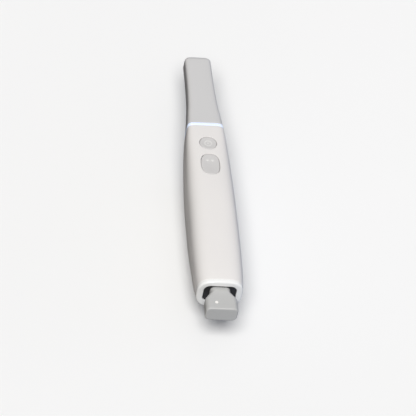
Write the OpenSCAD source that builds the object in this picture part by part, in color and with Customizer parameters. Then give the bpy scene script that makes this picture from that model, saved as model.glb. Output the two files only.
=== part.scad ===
// Wireless intraoral camera: a hand-held dental scanning wand.
// It lies on its belly with the buttons up (+Z) and the tip towards +X.
// Every node is drawn at stations counted from the tail along X, then moved so that
// the origin is under the middle of the wand, on the surface that it rests on.

/* [Wand] */
// Overall length, from the rear face of the grip to the end of the tip
wand_length = 242; // [240:1:248]
// Half width of the handle at its widest
handle_half_width = 17.8; // [17.6:0.1:18.6]
// Height of the back of the handle over the rest surface
handle_height = 48.2; // [48:0.1:49]
// Wall thickness of the two handle shells
shell_wall = 2; // [1.8:0.1:2.2]
// Gap between the two handle shells at their parting line
parting_gap = 0.16; // [0.1:0.02:0.3]

/* [Tip] */
// Station of the joint between the status ring and the tip
tip_base = 171.4; // [171:0.1:172]
// Wall thickness of the removable tip
tip_wall = 1.5; // [1.3:0.1:1.6]
// Length of the scanning window
window_length = 15.5; // [13:0.5:16]
// Width of the scanning window
window_width = 13.6; // [12:0.2:14]

/* [Status ring] */
// Width of the lit band round the handle
ring_width = 2.8; // [2.2:0.1:3]

/* [Buttons] */
// Width of the eye-shaped scan button across the handle
scan_button_width = 12.8; // [12.4:0.2:14.2]
// Length of the scan button along the handle
scan_button_length = 12.4; // [11.4:0.2:13]
// Width of the oval mode button
mode_button_width = 13.4; // [13:0.2:14.6]
// Length of the oval mode button
mode_button_length = 20; // [18:0.2:20]
// Clearance round each button
button_gap = 0.25; // [0.2:0.05:0.35]

/* [Battery] */
// Width of the battery pack
battery_width = 23.2; // [22.8:0.1:23.4]
// Height of the battery pack
battery_height = 16; // [15.6:0.1:16.2]
// Clearance between the pack and its bay
battery_gap = 0.3; // [0.25:0.05:0.35]

/* [Hidden] */
$fn = 48;

// Colours
white = [0.90, 0.895, 0.88];
pale_grey = [0.80, 0.80, 0.795];
black = [0.12, 0.12, 0.13];
metal = [0.72, 0.73, 0.75];
gold = [0.90, 0.74, 0.35];
circuit = [0.10, 0.30, 0.20];
clear = [0.72, 0.82, 0.88, 0.5];

tail_end = -1;                         // station of the grip's rear face
tip_end = tail_end + wand_length;      // station of the tip's end
// Cross-sections along the wand: [station, top, bottom, half width, height of the widest line,
// squareness of the upper half, squareness of the lower half]
HANDLE = [
    [ 18.0, handle_height - 2.9, 17.8, handle_half_width - 1.3, 32.2, 3.1, 2.8],
    [ 32.0, handle_height - 1.7, 13.4, handle_half_width - 0.4, 32.6, 3.1, 2.7],
    [ 60.0, handle_height - 0.5,  5.0, handle_half_width,       33.0, 3.1, 2.6],
    [ 88.0, handle_height,       -1.2, handle_half_width - 0.3, 33.0, 3.2, 2.5],
    [112.0, handle_height,       -1.2, handle_half_width - 0.6, 33.1, 3.2, 2.4],
    [132.0, handle_height - 0.4,  2.8, handle_half_width - 1.4, 33.5, 3.4, 2.5],
    [148.0, handle_height - 0.9,  9.2, handle_half_width - 2.3, 34.4, 3.8, 2.8],
    [160.0, handle_height - 1.4, 16.4, handle_half_width - 3.2, 35.4, 4.6, 3.3],
    [171.4, handle_height - 1.9, 24.4, handle_half_width - 4.6, 36.2, 6.0, 4.2]];
TIP = [
    [171.4, handle_height - 1.9, 24.4, handle_half_width - 4.6, 36.2, 6.0, 4.2],
    [176.0, handle_height - 2.2, 27.9, handle_half_width - 5.1, 36.8, 6.0, 4.6],
    [183.0, handle_height - 2.6, 30.0, handle_half_width - 5.8, 37.2, 5.8, 5.0],
    [194.0, handle_height - 3.2, 30.5, handle_half_width - 6.9, 37.2, 5.6, 5.2],
    [214.0, handle_height - 4.2, 30.2, handle_half_width - 7.8, 37.0, 5.5, 5.2],
    [tip_end, handle_height - 5.6, 29.5, handle_half_width - 8.1, 36.0, 5.5, 5.2]];
arc_points = 23;                       // points along the upper or lower half of a cross-section

ring_back = tip_base - ring_width;     // station where the shells end and the status ring starts
bezel_back = 18.3;                     // station of the handle's rear face
bezel_front = 21.3;                    // station where the shells start
bezel_round = 1.3;                     // edge radius round the rear face
skin_gap = 0.05;                       // joint between neighbours that meet end to end
tip_gap = 0.1;                         // joint between the status ring and the removable tip
tip_end_round = 4;                     // corner radius at the end of the tip, seen from above
tip_edge_round = 2.4;                  // edge radius at the end of the tip, seen from the side
tip_end_wall = 3.4;                    // thickness of the tip's closed end
window_s = tip_end - 14.8;             // station of the middle of the scanning window
mirror_s = tip_end - 13.6;             // station of the middle of the mirror
mirror_z = 36.2;                       // height of the middle of the mirror
optic_z = 37.2;                        // height of the optical axis
snout_end = 214;                       // station of the snout's front window
snout_w = 15;                          // outer width of the snout
snout_h = 9;                           // outer height of the snout
snout_screw_y = 4;                     // snout screws, to the left and right
snout_screw_z = 30;                    // height of the snout screws
scan_s = 150.6;                        // station of the scan button
mode_s = 129.6;                        // station of the mode button
scan_lip_z = 43.35;                    // underside of the scan button's lip
mode_lip_z = 43.85;                    // underside of the mode button's lip
lip = 0.8;                             // how far a button's lip reaches past its face
lip_t = 0.7;                           // thickness of a button's lip
plunger_room = 44;                     // height of the hollow over a switch's plunger
board_t = 0.6;                         // thickness of the button board
board_top = 42.35;                     // top of the button board
button_post = [142.9, 7.2];            // station and offset of the posts under the button board
main_top = 18.8;                       // top of the main board
main_t = 1.2;                          // thickness of the main board
main_posts = [67, 114];                // stations of the main board's posts
main_post_y = 8;                       // offset of the main board's posts
pack_z = 32.4;                         // middle height of the battery
pack_back = 19.4;                      // station where the pack's case starts
pack_front = 96;                       // station where the pack's case ends
pack_round = 4.5;                      // corner radius of the pack
pack_wall = 1.2;                       // wall of the pack's case
grip_neck = 16.4;                      // station where the grip narrows into its neck
grip_shoulder = 10.2;                  // station where the grip reaches its full width
grip_neck_w = 14.6;                    // width of the grip's neck
grip_z = [26, 38.8];                   // underside and top of the grip
light_s = 5.2;                         // station of the charge light
light_y = 4.0;                         // offset of the charge light
bay_wall = 1.2;                        // wall of the battery bay
bay_end = 98.2;                        // station of the bay's closed end
contact_pitch = [-6, -2, 2, 6];        // offsets of the battery contacts
charge_s = 4.6;                        // station of the charging contacts, under the grip
charge_pitch = [-6.6, -2.2, 2.2, 6.6]; // offsets of the charging contacts
bezel_screw_y = 6;                     // bezel screws, to the left and right
bezel_screw_z = 21.2;                  // height of the bezel screws
pad_s = 36;                            // station of the latch pad
latch_s = 46;                          // station of the latch pivot
latch_z = 16.5;                        // height of the latch pivot
latch_pin_r = 1;                       // radius of the latch pin
tooth_s = 56.2;                        // station of the latch tooth
projector_s = 128;                     // station of the projector's vertical axis

// ---------- curves ----------
function span(middle, half) = [middle - half, middle + half];
function stations(a, b, n) = [for (i = [0 : n]) a + (b - a) * i / n];
function row_of(t, s, i = 0) = (i >= len(t) - 2 || s < t[i + 1][0]) ? i : row_of(t, s, i + 1);
function slope_at(t, i, c) = let (a = max(i - 1, 0), b = min(i + 1, len(t) - 1))
    (t[b][c] - t[a][c]) / (t[b][0] - t[a][0]);
// Column c of table t at station s, on a smooth cubic through the rows
function value(t, s, c) = let (
        i = row_of(t, s),
        h = t[i + 1][0] - t[i][0],
        u = (s - t[i][0]) / h,
        p = t[i][c], q = t[i + 1][c],
        m = slope_at(t, i, c) * h, n = slope_at(t, i + 1, c) * h)
    (2*u*u*u - 3*u*u + 1) * p + (u*u*u - 2*u*u + u) * m + (3*u*u - 2*u*u*u) * q + (u*u*u - u*u) * n;
// [half width, top, bottom, widest height, upper squareness, lower squareness], moved in by inset
function section(t, s, inset = 0, inset_z = undef) = let (z = is_undef(inset_z) ? inset : inset_z)
    [value(t, s, 3) - inset, value(t, s, 1) - z, value(t, s, 2) + z,
     value(t, s, 4), value(t, s, 5), value(t, s, 6)];
function power(x, n) = sign(x) * pow(abs(x), 2 / n);
// A point of a cross-section at angle a, kept on or over the height floor_z
function rim(sec, a, floor_z = 0) = sin(a) >= 0
    ? [sec[0] * power(cos(a), sec[4]), sec[3] + (sec[1] - sec[3]) * power(sin(a), sec[4])]
    : [sec[0] * power(cos(a), sec[5]), max(floor_z, sec[3] + (sec[3] - sec[2]) * power(sin(a), sec[5]))];
function at_station(s, point) = [s, point[0], point[1]];
function ring_at(s, sec, floor_z = 0) = [for (k = [0 : 2 * arc_points - 3])
    at_station(s, rim(sec, k * 180 / (arc_points - 1), floor_z))];
// Half of a hollow section: the outer arc from angle a, then the inner arc back
function half_at(s, outer, inner, a, inner_floor) = concat(
    [for (k = [0 : arc_points - 1]) at_station(s, rim(outer, a + k * 180 / (arc_points - 1)))],
    [for (k = [arc_points - 1 : -1 : 0])
        at_station(s, rim(inner, a + k * 180 / (arc_points - 1), inner_floor))]);
// Height of the lower shell's inside at station s and offset y
function inner_floor(s, y) = let (c = section(HANDLE, s, shell_wall))
    max(shell_wall, c[3] - (c[3] - c[2]) * pow(1 - pow(abs(y) / c[0], c[5]), 1 / c[5]));
function superellipse(width, length, n, points = 40) = [for (k = [0 : points - 1])
    let (a = k * 360 / points) [length / 2 * power(cos(a), n), width / 2 * power(sin(a), n)]];

// ---------- solids ----------
function side_faces(rows, n) = [for (i = [0 : rows - 2]) for (j = [0 : n - 1]) let (k = (j + 1) % n)
    each [[i * n + j, (i + 1) * n + k, i * n + k], [i * n + j, (i + 1) * n + j, (i + 1) * n + k]]];
// Skin through rings of the same number of points, with a flat cap at each end
module loft(rings) {
    n = len(rings[0]);
    rows = len(rings);
    polyhedron([for (r = rings) each r], concat(
        side_faces(rows, n),
        [[for (j = [0 : n - 1]) j]],
        [[for (j = [n - 1 : -1 : 0]) (rows - 1) * n + j]]), convexity = 6);
}
// Skin through half sections, whose caps are strips between the two arcs
module loft_half(rings) {
    n = len(rings[0]);
    last = (len(rings) - 1) * n;
    polyhedron([for (r = rings) each r], concat(
        side_faces(len(rings), n),
        [for (j = [0 : n / 2 - 2]) each [[j, j + 1, n - 2 - j], [j, n - 2 - j, n - 1 - j]]],
        [for (j = [0 : n / 2 - 2]) each [[last + j, last + n - 2 - j, last + j + 1],
                                         [last + j, last + n - 1 - j, last + n - 2 - j]]]), convexity = 8);
}
// Closed band: rings whose last one joins the first
module loft_band(rings) {
    n = len(rings[0]);
    rows = len(rings);
    polyhedron([for (r = rings) each r], [for (i = [0 : rows - 1]) for (j = [0 : n - 1])
        let (k = (j + 1) % n, o = (i + 1) % rows)
        each [[i * n + j, o * n + k, i * n + k], [i * n + j, o * n + j, o * n + k]]], convexity = 6);
}
module block(s, y, z) translate([s[0], y[0], z[0]]) cube([s[1] - s[0], y[1] - y[0], z[1] - z[0]]);
module rod_x(s, y, z, r) translate([s[0], y, z]) rotate([0, 90, 0]) cylinder(r = r, h = s[1] - s[0]);
module rod_y(s, y, z, r) translate([s, y[0], z]) rotate([-90, 0, 0]) cylinder(r = r, h = y[1] - y[0]);
module rod_z(s, y, z, r) translate([s, y, z[0]]) cylinder(r = r, h = z[1] - z[0]);
module tube_z(s, y, z, r_outer, r_inner) difference() {
    rod_z(s, y, z, r_outer);
    rod_z(s, y, [z[0] - 1, z[1] + 1], r_inner);
}
// Bar along X with its four long edges rounded
module round_bar(s, width, z, r) {
    block(s, span(0, width / 2 - r), z);
    block(s, span(0, width / 2), [z[0] + r, z[1] - r]);
    for (y = span(0, width / 2 - r)) for (h = [z[0] + r, z[1] - r]) rod_x(s, y, h, r);
}
// Slab whose corners are rounded in plan
module round_slab(s, y, z, r) {
    block([s[0] + r, s[1] - r], y, z);
    block(s, [y[0] + r, y[1] - r], z);
    for (a = [s[0] + r, s[1] - r]) for (b = [y[0] + r, y[1] - r]) rod_z(a, b, z, r);
}
// Extrudes an outline drawn in station and height across the offsets y
module across(y) translate([0, y[1], 0]) rotate([90, 0, 0]) linear_extrude(y[1] - y[0]) children();
// Screws with a hexagon socket: upright, or along the wand with the head at the front or back
module screw_z(s, y, seat, length) difference() {
    union() {
        rod_z(s, y, [seat, seat + 0.9], 1.4);
        rod_z(s, y, [seat - length, seat + 0.1], 0.75);
    }
    translate([s, y, seat + 0.4]) cylinder(r = 0.7, h = 1, $fn = 6);
}
module screw_x(s_head, s_end, y, z) {
    way = sign(s_end - s_head);
    head = [s_head, s_head + 1.1 * way];
    shaft = [s_head + way, s_end];
    difference() {
        union() {
            rod_x([min(head), max(head)], y, z, 1.3);
            rod_x([min(shaft), max(shaft)], y, z, 0.75);
        }
        translate([s_head - 0.6, y, z]) rotate([0, 90, 0]) cylinder(r = 0.65, h = 1.2, $fn = 6);
    }
}
module placed() translate([-(tail_end + tip_end) / 2, 0, 0]) children();

// ---------- button outlines ----------
// Eye shape: two arcs that meet in points on the left and right
module eye(width, length) {
    r = (width * width + length * length) / (4 * length);
    intersection_for (side = [-1, 1]) translate([side * (r - length / 2), 0]) circle(r, $fn = 96);
}
module scan_outline(grow = 0) eye(scan_button_width + 2.2 * grow, scan_button_length + 2 * grow);
module mode_outline(grow = 0)
    polygon(superellipse(mode_button_width + 2 * grow, mode_button_length + 2 * grow, 2.6));
// Short stretch of the handle's outer form, moved in by inset, that gives a button its crown
module handle_form(s, inset, n = 4)
    loft([for (a = stations(s[0], s[1], n)) ring_at(a, section(HANDLE, a, inset))]);

// ---------- handle ----------
shell_stations = concat(
    stations(bezel_front, 96, 9),
    stations(104, 136, 5),
    stations(141, ring_back - skin_gap, 8));
function shell_section(s, inset, side) = section(HANDLE, s, inset) + [0, 0, 0, side * parting_gap / 2, 0, 0];
module upper_shell() color(white) difference() {
    loft_half([for (s = shell_stations)
        half_at(s, shell_section(s, 0, 1), shell_section(s, shell_wall, 1), 0, 0)]);
    translate([scan_s, 0, 40]) linear_extrude(12) scan_outline(button_gap);
    translate([mode_s, 0, 40]) linear_extrude(12) mode_outline(button_gap);
}
module lower_shell() color(white) difference() {
    loft_half([for (s = shell_stations)
        half_at(s, shell_section(s, 0, -1), shell_section(s, shell_wall, -1), 180, shell_wall)]);
    // opening for the latch pad
    translate([pad_s, 0, 8]) linear_extrude(12) polygon(superellipse(10.6, 13.6, 2.6, 32));
}
module tail_bezel() color("white") difference() {
    loft(concat(
        [for (a = [0, 30, 60, 90]) let (s = bezel_back + bezel_round * (1 - cos(a)))
            ring_at(s, section(HANDLE, s, bezel_round * (1 - sin(a))))],
        [ring_at(bezel_front - skin_gap, section(HANDLE, bezel_front - skin_gap))]));
    bay_hollow([bezel_back - 1, bezel_front + 1]);
    for (y = span(0, bezel_screw_y)) {
        rod_x([bezel_back - 1, bezel_back + 1.5], y, bezel_screw_z, 1.4);
        rod_x([bezel_back, bezel_front + 1], y, bezel_screw_z, 0.85);
    }
}
module bezel_screws() color(metal) for (y = span(0, bezel_screw_y))
    screw_x(bezel_back + 0.3, bezel_back + 10, y, bezel_screw_z);
module light_ring() color([0.86, 0.91, 1]) {
    front = tip_base - tip_gap;
    groove = 0.12;
    depth = 2.9;
    loft_band([for (e = [[ring_back, 0.05], [ring_back + 0.4, -groove], [front - 0.4, -groove], [front, 0.05],
                         [front, depth], [ring_back, depth]])
        ring_at(e[0], section(HANDLE, e[0], e[1]))]);
}
module ring_board() color(circuit) difference() {
    loft([for (s = [ring_back - 2.4, ring_back - 1.4]) ring_at(s, section(HANDLE, s, 2.6))]);
    round_bar([ring_back - 4, ring_back + 2], 16.4, [27.3, 42.6], 1.5);
}
module ring_leds() color([0.95, 0.95, 0.8]) for (a = [15, 55, 90, 125, 165, 205, 235, 305, 335]) {
    p = rim(section(HANDLE, ring_back - 1.4, 3.5), a);
    block([ring_back - 1.4, ring_back - 0.6], span(p[0], 0.5), span(p[1], 0.5));
}

// ---------- snout and what is on it ----------
module snout_bar(s, grow) round_bar(s, snout_w + 2 * grow, span(optic_z, snout_h / 2 + grow), 2 + grow);
module optics_snout() color(black) difference() {
    union() {
        loft([for (s = [ring_back - 0.4, tip_base - tip_gap]) ring_at(s, section(HANDLE, s, 3.2))]);
        for (y = span(0, snout_screw_y)) rod_x([163.65, ring_back], y, snout_screw_z, 1.9);
        snout_bar([tip_base - 1, snout_end], 0);
    }
    block([ring_back - 2, snout_end + 1], span(0, 6.2), span(optic_z, 3.2));
    block([snout_end - 1.2, snout_end + 1], span(0, 6.7), span(optic_z, 3.7));
    for (y = span(0, snout_screw_y)) {
        rod_x([tip_base - 1.6, tip_base + 1], y, snout_screw_z, 1.4);
        rod_x([163, tip_base], y, snout_screw_z, 0.85);
    }
}
module snout_window() color(clear)
    block([snout_end - 1.15, snout_end - 0.15], span(0, 6.65), span(optic_z, 3.65));
module snout_seal() color(black) difference() {
    loft([for (s = [tip_base - 0.05, tip_base + 0.8, tip_base + 1.6]) ring_at(s, section(TIP, s, 1.95))]);
    snout_bar([tip_base - 2, tip_base + 3], 0.02);
}
module snout_screws() color(metal) for (y = span(0, snout_screw_y))
    screw_x(tip_base - 0.3, 161, y, snout_screw_z);
// Bowed steel strips on the two sides of the snout that grip the tip
module tip_springs() color(metal) {
    chord = 20;
    rise = 1.6;
    t = 0.35;
    r = (chord * chord / 4 + rise * rise) / (2 * rise);
    seat = snout_w / 2 + 0.02;
    for (side = [-1, 1]) intersection() {
        translate([189, side * (seat + rise - r), optic_z - 2]) linear_extrude(4) difference() {
            circle(r + t, $fn = 120);
            circle(r, $fn = 120);
        }
        block([179.5, 198.5], side > 0 ? [seat, 12] : [-12, -seat], span(optic_z, 3));
    }
}

// ---------- optics ----------
module optics_chassis() color([0.62, 0.63, 0.65]) difference() {
    union() {
        block([104, 163.6], span(0, 9), [27, 28.6]);
        block([160.4, 163.6], span(0, 9), [28.5, 41.7]);
        block([104, 106], span(0, 9), [28.5, 38]);
        for (side = [-1, 1]) {
            block([105.9, 160.5], span(side * 8.4, 0.7), [28.5, 39]);
            rod_z(button_post[0], side * button_post[1], [28.5, board_top - board_t - 0.02], 1.5);
        }
    }
    rod_x([158, 165], 0, optic_z, 4);
    rod_z(projector_s, 0, [25, 30], 4.7);
    for (y = span(0, snout_screw_y)) rod_x([155, 165], y, snout_screw_z, 0.8);
    for (s = [112, 150]) for (y = [-6, 6]) rod_z(s, y, [26, 29], 0.8);
    for (side = [-1, 1]) rod_z(button_post[0], side * button_post[1], [34, 43], 0.8);
    for (s = [116, 140]) round_slab(span(s, 3), span(0, 4), [26, 29], 1.5);
}
module chassis_screws() color(metal) {
    for (s = [112, 150]) for (y = [-6, 6]) screw_z(s, y, 28.65, 5);
    for (side = [-1, 1]) screw_z(button_post[0], side * button_post[1], board_top + 0.02, 5);
}
module lens_barrel() color(black) difference() {
    union() {
        rod_x([134, 160.3], 0, optic_z, 4.35);
        for (s = [145, 154]) block(span(s, 2), span(0, 4), [28.65, 34]);
    }
    rod_x([133, 161], 0, optic_z, 3.4);
}
module lens_elements() color(clear) for (e = [[135.2, 2.2], [146, 1.8], [157, 2.6]])
    rod_x([e[0], e[0] + e[1]], 0, optic_z, 3.37);
module beam_splitter() color(clear) block(span(projector_s, 4.2), span(0, 4.2), span(optic_z, 4.2));
module sensor_board() color(circuit) block([117.2, 118.2], span(0, 7), [30, 41.4]);
module image_sensor() color([0.2, 0.22, 0.25]) {
    block([118.22, 119.6], span(0, 4.5), span(optic_z, 3.9));
    block([119.5, 120], span(0, 3.4), span(optic_z, 2.8));
}
// Flexible strip from the sensor board down through the chassis to the main board
module sensor_flex() color([0.8, 0.52, 0.2]) across(span(0, 3))
    polygon([[113.6, 41], [117.18, 41], [117.18, 40.7], [113.9, 40.7], [113.9, main_top + 0.02],
             [113.6, main_top + 0.02]]);
module projector_barrel() color(black) difference() {
    rod_z(projector_s, 0, [14.2, 32.4], 4.5);
    rod_z(projector_s, 0, [13, 33], 3.5);
}
module projector_lens() color(clear) for (z = [18, 29]) rod_z(projector_s, 0, [z, z + 2], 3.47);
module projector_board() color(circuit) {
    block(span(projector_s, 8), span(0, 7), [12.6, 13.6]);
    block(span(projector_s, 2), span(0, 2), [13.5, 14.1]);
}
module heat_sink() color([0.6, 0.61, 0.63]) {
    block([106, projector_s + 8], span(0, 6), [11, 12.55]);
    block(span(projector_s, 8), span(0, 7), [11, 12.55]);
    for (y = [-5.4 : 1.8 : 5.4]) block([106.5, projector_s + 7.5], span(y, 0.4), [7.9, 11.1]);
}

// ---------- electronics ----------
module main_board() color(circuit) difference() {
    round_slab([64, 117], span(0, 10.5), [main_top - main_t, main_top], 2);
    for (s = main_posts) for (y = span(0, main_post_y)) rod_z(s, y, [17, 20], 0.9);
}
module main_chips() color(black) {
    // station, offset, length, width and height of each chip
    chips = [
        [74, -2, 9, 9, 1.4], [86, 3, 11, 11, 1.2], [99, -4, 6, 8, 1],
        [107, 4, 7, 6, 1.2], [99, 6, 4, 3, 0.8]];
    for (c = chips) block(span(c[0], c[2] / 2), span(c[1], c[3] / 2), [main_top + 0.02, main_top + c[4]]);
}
module shield_can() color(metal) difference() {
    round_slab([76, 104], span(0, 8.5), [13.8, main_top - main_t - 0.02], 1);
    block([76.4, 103.6], span(0, 8.1), [14.2, 20]);
}
module board_posts() color([0.8, 0.68, 0.36]) for (s = main_posts) for (y = span(0, main_post_y)) {
    r = 1.6;
    foot = max(inner_floor(s - r, abs(y) + r), inner_floor(s + r, abs(y) + r)) + 0.05;
    tube_z(s, y, [foot, main_top - main_t - 0.02], r, r / 2);
}
module board_screws() color(metal) for (s = main_posts) for (y = span(0, main_post_y))
    screw_z(s, y, main_top + 0.02, 5);
module antenna_board() color(circuit) {
    block([52, 84], span(0, 6), [42, 42.7]);
    block([78, 82], span(0, 4), [42.6, 43.5]);
}
module button_board() color(circuit) difference() {
    round_slab([117.4, 160.6], span(0, 9.4), [board_top - board_t, board_top], 2);
    for (side = [-1, 1]) rod_z(button_post[0], side * button_post[1], [40, 44], 0.9);
}
module button_switches() color([0.75, 0.75, 0.76]) for (s = [scan_s, mode_s]) {
    block(span(s, 2), span(0, 2), [board_top + 0.02, board_top + 0.5]);
    rod_z(s, 0, [board_top + 0.45, board_top + 0.75], 1.3);
}
// Frames that stand on the board and guide the buttons' lips
module button_guides() color([0.25, 0.25, 0.26]) {
    translate([scan_s, 0, board_top + 0.03]) linear_extrude(1.1) difference() {
        scan_outline(1.9);
        scan_outline(1.1);
    }
    translate([mode_s, 0, board_top + 0.03]) linear_extrude(1.7) difference() {
        mode_outline(1.8);
        mode_outline(1.1);
    }
}

// ---------- battery bay and latch ----------
module pack_bar(s, grow)
    round_bar(s, battery_width + 2 * grow, span(pack_z, battery_height / 2 + grow), pack_round + grow);
module bay_hollow(s) pack_bar(s, battery_gap);
module battery_bay() color([0.2, 0.2, 0.21]) difference() {
    bay_front = bezel_front + skin_gap;
    union() {
        pack_bar([bay_front, bay_end], battery_gap + bay_wall);
        for (y = span(0, bezel_screw_y)) {
            rod_x([bay_front, 31], y, bezel_screw_z, 1.7);
            block([bay_front, 31], span(y, 1), [bezel_screw_z, 23.4]);
        }
        for (side = [-1, 1]) block(span(latch_s, 2.2), span(side * 6.4, 1), [latch_z - 1.8, 23.4]);
    }
    bay_hollow([bay_front - 1, bay_end - 1.4]);
    for (y = span(0, bezel_screw_y)) rod_x([bay_front - 1, 32], y, bezel_screw_z, 0.8);
    block(span(tooth_s, 3), span(0, 3.2), [20, 26]);
    rod_y(latch_s, span(0, 9), latch_z, latch_pin_r + 0.02);
    for (y = contact_pitch) rod_x([90, 100], y, pack_z, 0.8);
}
module bay_contacts() color(gold) for (y = contact_pitch) {
    rod_x([96.4, 97.2], y, pack_z, 0.5);
    rod_x([97.1, 98.9], y, pack_z, 0.75);
}
module power_board() color(circuit) block([98.95, 99.95], span(0, 9), [26, 38]);
module latch_pin() color(metal) rod_y(latch_s, span(0, 7.3), latch_z, latch_pin_r);
// Rocking lever: its pad is flush with the lower shell, and its tooth reaches up into the bay
module latch_lever() color([0.78, 0.78, 0.77]) difference() {
    union() {
        intersection() {
            translate([pad_s, 0, 8]) linear_extrude(10) polygon(superellipse(9.8, 12.8, 2.6, 32));
            handle_form(span(pad_s, 8), 0.1);
        }
        block([pad_s + 1, latch_s], span(0, 2.2), [15, 17.6]);
        rod_y(latch_s, span(0, 5), latch_z, 2);
        block([latch_s, tooth_s + 1.6], span(0, 2.2), [15, 17.6]);
        block(span(tooth_s, 1.6), span(0, 2.2), [17.5, 25]);
    }
    rod_y(latch_s, span(0, 9), latch_z, latch_pin_r + 0.05);
}
// Compression spring that lifts the tooth end of the lever
module latch_spring() color(metal) {
    turns = 4;
    steps = 12;
    sides = 6;
    wire = 0.22;
    coil_r = 1.5;
    low = inner_floor(tooth_s, 2) + 0.35;
    high = 14.7;
    loft([for (i = [0 : turns * steps])
        let (a = i * 360 / steps, z = low + (high - low) * i / (turns * steps))
        [for (k = [0 : sides - 1]) let (b = k * 360 / sides, r = coil_r + wire * cos(b))
            [tooth_s + r * cos(a), r * sin(a), z + wire * sin(b)]]]);
}

// ---------- tip ----------
// Outline of the tip's rounded end at angle a, from its side (0) to its end face (90)
function tip_cap(a) = let (s = tip_end - tip_end_round * (1 - sin(a)), turn = 1 - cos(a))
    ring_at(s, section(TIP, s, tip_end_round * turn, tip_edge_round * turn));
module tip_sleeve() color(pale_grey) difference() {
    inside = concat([tip_end - tip_end_wall], stations(tip_end - 8, 183, 5),
        stations(179, tip_base, 3));
    outside = concat(stations(tip_base, 183, 5), stations(189, tip_end - tip_end_round - 1, 6));
    loft(concat(
        [for (s = inside) ring_at(s, section(TIP, s, tip_wall))],
        [for (s = outside) ring_at(s, section(TIP, s))],
        [for (a = [0, 25, 45, 65, 85]) tip_cap(a)]));
    round_slab(span(window_s, window_length / 2), span(0, window_width / 2), [25, 32.6], 2.6);
}
module tip_mirror() color([0.85, 0.87, 0.9])
    translate([mirror_s, 0, mirror_z]) rotate([0, 45, 0]) translate([-6.2, -7, 0]) cube([12.4, 14, 1]);
// Wedge behind the mirror that holds it at 45 degrees
module mirror_mount() color(black) {
    line = mirror_s + mirror_z + 1.5;
    across(span(0, 7.2)) polygon([[line - 40.7, 40.7], [line - 32, 32], [tip_end - 4.8, 32],
                                  [tip_end - 4.8, 40.4]]);
}

// ---------- buttons ----------
module scan_button() color(pale_grey) difference() {
    union() {
        intersection() {
            translate([scan_s, 0, scan_lip_z + 0.1]) linear_extrude(6) scan_outline();
            handle_form(span(scan_s, 8), 0.15);
        }
        translate([scan_s, 0, scan_lip_z]) linear_extrude(lip_t) scan_outline(lip);
    }
    rod_z(scan_s, 0, [40, plunger_room], 3);
    tube_z(scan_s, 0, [46.2, 50], 3, 1.9);
    rod_z(scan_s, 0, [46.2, 50], 0.8);
}
// Raised ring and dot on the scan button
module scan_button_mark() color([0.86, 0.86, 0.85]) intersection() {
    union() {
        tube_z(scan_s, 0, [46.22, 50], 2.95, 1.95);
        rod_z(scan_s, 0, [46.22, 50], 0.75);
    }
    handle_form(span(scan_s, 8), 0.05);
}
module mode_button() color(pale_grey) difference() {
    union() {
        intersection() {
            translate([mode_s, 0, mode_lip_z + 0.1]) linear_extrude(6) mode_outline();
            handle_form(span(mode_s, 12), 0.15, 5);
        }
        translate([mode_s, 0, mode_lip_z]) linear_extrude(lip_t) mode_outline(lip);
    }
    rod_z(mode_s, 0, [40, plunger_room], 3);
    for (y = [-2, 2]) rod_z(mode_s + 4.2, y, [46.2, 50], 1.3);
}
module mode_button_dots() color([0.86, 0.86, 0.85]) for (y = [-2, 2]) {
    rod_z(mode_s + 4.2, y, [46.22, 47.3], 1.25);
    translate([mode_s + 4.2, y, 47.3]) intersection() {
        translate([0, 0, -2.4]) sphere(2.8);
        cylinder(r = 1.25, h = 2);
    }
}

// ---------- battery ----------
module battery_case() color([0.22, 0.22, 0.23]) difference() {
    pack_bar([pack_back, pack_front], 0);
    pack_bar([pack_back + 1.5, pack_front - 3.2], -pack_wall);
    // groove that lets the latch tooth pass
    block([tooth_s - 2.6, pack_front + 1], span(0, 2.8), [20, 25.3]);
}
module battery_cell() color([0.74, 0.75, 0.77])
    round_bar([pack_back + 2, pack_front - 6], battery_width - 3, [26.2, pack_z + battery_height / 2 - 1.6], 3);
module battery_board() color(circuit)
    block([pack_front - 5.6, pack_front - 4.6], span(0, 8.6), [27.4, 38]);
module battery_contacts() color(gold) for (y = contact_pitch)
    block([pack_front + 0.02, pack_front + 0.3], span(y, 1.1), [31, 33.8]);
// Finger grip behind the handle: a short neck, then a block with slanted shoulders
module battery_grip() color([0.76, 0.76, 0.755]) difference() {
    half = battery_width / 2;
    union() {
        round_bar([grip_neck - 0.4, pack_back - 0.02], grip_neck_w, grip_z, 3);
        intersection() {
            translate([0, 0, 20]) linear_extrude(25) polygon([
                [tail_end, -half], [grip_shoulder, -half], [grip_neck, -grip_neck_w / 2],
                [grip_neck, grip_neck_w / 2], [grip_shoulder, half], [tail_end, half]]);
            round_bar([tail_end, grip_neck], battery_width, grip_z, 3.6);
        }
    }
    for (y = charge_pitch) block(span(charge_s, 2), span(y, 1.5), [grip_z[0] - 1, grip_z[0] + 0.5]);
    rod_z(light_s, light_y, [grip_z[1] - 1, grip_z[1] + 1], 1.2);
}
module charge_contacts() color(gold) for (y = charge_pitch)
    block(span(charge_s, 1.9), span(y, 1.4), [grip_z[0] + 0.12, grip_z[0] + 0.48]);
module charge_light() color([0.95, 0.97, 1]) rod_z(light_s, light_y, [grip_z[1] - 0.98, grip_z[1]], 1.15);

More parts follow.
